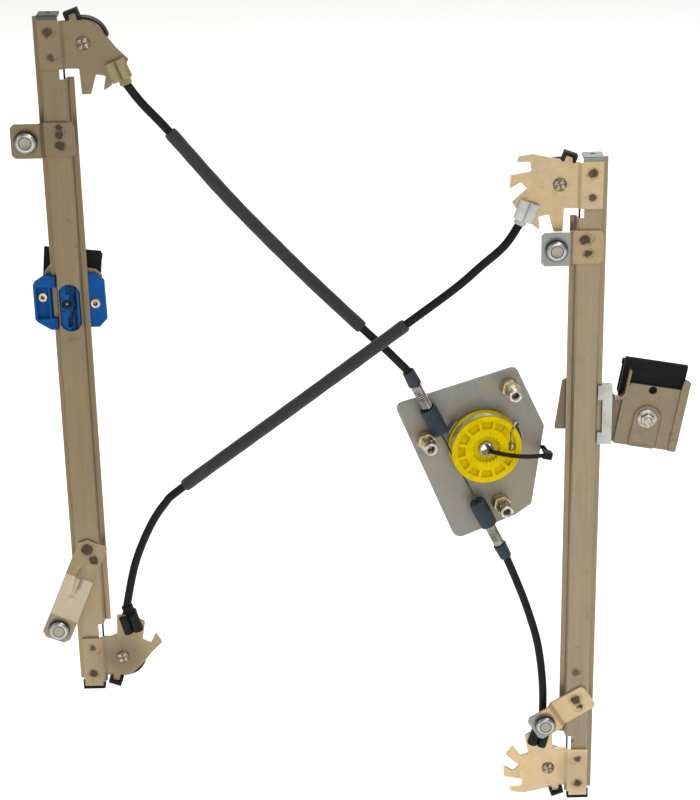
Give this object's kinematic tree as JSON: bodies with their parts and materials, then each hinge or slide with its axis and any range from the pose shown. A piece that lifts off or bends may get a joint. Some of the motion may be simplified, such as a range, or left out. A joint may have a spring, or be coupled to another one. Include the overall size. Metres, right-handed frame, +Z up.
{
  "type": "window regulator",
  "caption": "Cable window regulator with parallel rails, without its motor: pulleys, conduits, sprung tensioners and a drum move the glass carriers together.",
  "frame": {"origin": "upper left mounting stud: the centre of its neck where it meets the front face of its bracket", "axes": "+X along the door from the left rail to the right rail, +Y away from the door inner panel towards the glass, +Z up the rails"},
  "size_m": [0.479, 0.0509, 0.6239],
  "materials": {
    "steel_passivated": "yellow passivated zinc on pressed steel",
    "axle_steel": "bright copper-tinted steel",
    "pulley_plastic": "natural acetal",
    "plastic_black": "black nylon",
    "plastic_white": "natural nylon, slightly translucent",
    "rubber": "moulded rubber",
    "steel_zinc": "clear zinc plated sheet",
    "plastic_yellow": "yellow acetal",
    "fastener_zinc": "bright zinc plated",
    "cable_steel": "greased galvanised wire rope",
    "spring_steel": "bright spring wire",
    "plastic_slate": "slate grey nylon",
    "conduit_black": "black polyethylene",
    "foam_grey": "grey foam and flock sleeve",
    "plastic_blue": "blue acetal",
    "screw_black": "black oxide steel"
  },
  "bodies": {
    "frame": {"rail_left": "steel_passivated", "rail_right": "steel_passivated", "pulley_bracket_upper_left": "steel_passivated", "pulley_bracket_lower_left": "steel_passivated", "pulley_bracket_upper_right": "steel_passivated", "pulley_bracket_lower_right": "steel_passivated", "mount_bracket_upper_left": "steel_passivated", "mount_arm_lower_left": "steel_passivated", "mount_bracket_upper_right": "steel_passivated", "mount_bracket_lower_right": "steel_passivated", "mount_studs": "fastener_zinc", "pulley_axles": "axle_steel", "cable_guard_upper_left": "plastic_black", "cable_guard_lower_left": "plastic_black", "cable_guard_upper_right": "plastic_black", "cable_guard_lower_right": "plastic_black", "end_fitting_upper_left": "plastic_white", "end_fitting_lower_left": "plastic_black", "end_fitting_upper_right": "plastic_white", "end_fitting_lower_right": "plastic_black", "stop_buffers": "rubber", "motor_plate": "steel_zinc", "standoffs": "fastener_zinc", "drum_cable_run": "cable_steel", "tensioner_cap_upper": "plastic_slate", "tensioner_cap_lower": "plastic_slate", "tensioner_springs": "spring_steel", "tensioner_collars": "plastic_slate", "conduit_upper_left": "conduit_black", "conduit_cross": "conduit_black", "conduit_lower_right": "conduit_black", "sleeve_upper_left": "foam_grey", "sleeve_cross": "foam_grey", "transit_tie": "conduit_black", "rail_cables": "cable_steel"},
    "left_carrier": {"slider_left": "plastic_blue", "slider_rivets_left": "fastener_zinc", "clamp_front_left": "steel_passivated", "clamp_rear_left": "steel_passivated", "clamp_rubber_left": "rubber", "clamp_screw_left": "screw_black", "cable_ends_left": "cable_steel"},
    "right_carrier": {"carrier_plate_right": "steel_passivated", "slide_shoes_right": "plastic_white", "cable_anchor_right": "plastic_white", "carrier_rivets_right": "fastener_zinc", "clamp_front_right": "steel_passivated", "clamp_rear_right": "steel_passivated", "clamp_rubber_right": "rubber", "clamp_stud_right": "fastener_zinc", "clamp_nut_right": "fastener_zinc"},
    "cable_drum": {"drum": "plastic_yellow", "drum_bush": "steel_zinc", "drum_windings": "cable_steel"},
    "pulley_upper_left_wheel": {"pulley_upper_left": "pulley_plastic"},
    "pulley_lower_left_wheel": {"pulley_lower_left": "pulley_plastic"},
    "pulley_upper_right_wheel": {"pulley_upper_right": "pulley_plastic"},
    "pulley_lower_right_wheel": {"pulley_lower_right": "pulley_plastic"}
  },
  "joints": [
    {"name": "left_carrier_slide", "type": "slide", "parent": "frame", "child": "left_carrier", "axis": [0, 0, 1], "range_m": [-0.215, 0.13]},
    {"name": "right_carrier_slide", "type": "slide", "parent": "frame", "child": "right_carrier", "axis": [0, 0, 1], "range_m": [-0.215, 0.13]},
    {"name": "drum_spin", "type": "hinge", "parent": "frame", "child": "cable_drum", "pos_m": [0.314, 0.024, -0.239], "axis": [-0.1736, 0.9848, 0], "range_deg": [-320, 525]},
    {"name": "pulley_upper_left_spin", "type": "hinge", "parent": "frame", "child": "pulley_upper_left_wheel", "pos_m": [0.0423, 0.013, 0.0655], "axis": [0, 1, 0], "range_deg": [-860, 525]},
    {"name": "pulley_lower_left_spin", "type": "hinge", "parent": "frame", "child": "pulley_lower_left_wheel", "pos_m": [0.0423, 0.013, -0.403], "axis": [0, 1, 0], "range_deg": [-860, 525]},
    {"name": "pulley_upper_right_spin", "type": "hinge", "parent": "frame", "child": "pulley_upper_right_wheel", "pos_m": [0.3657, 0.013, -0.0395], "axis": [0, 1, 0], "range_deg": [-525, 860]},
    {"name": "pulley_lower_right_spin", "type": "hinge", "parent": "frame", "child": "pulley_lower_right_wheel", "pos_m": [0.3657, 0.013, -0.508], "axis": [0, 1, 0], "range_deg": [-525, 860]}
  ],
  "couplings": [
    {"joint": "left_carrier_slide", "follows": "right_carrier_slide", "ratio": 1},
    {"joint": "drum_spin", "follows": "right_carrier_slide", "rad_per_m": -41.667},
    {"joint": "pulley_upper_left_spin", "follows": "right_carrier_slide", "rad_per_m": 68.027},
    {"joint": "pulley_lower_left_spin", "follows": "right_carrier_slide", "rad_per_m": 68.027},
    {"joint": "pulley_upper_right_spin", "follows": "right_carrier_slide", "rad_per_m": -68.027},
    {"joint": "pulley_lower_right_spin", "follows": "right_carrier_slide", "rad_per_m": -68.027}
  ]
}
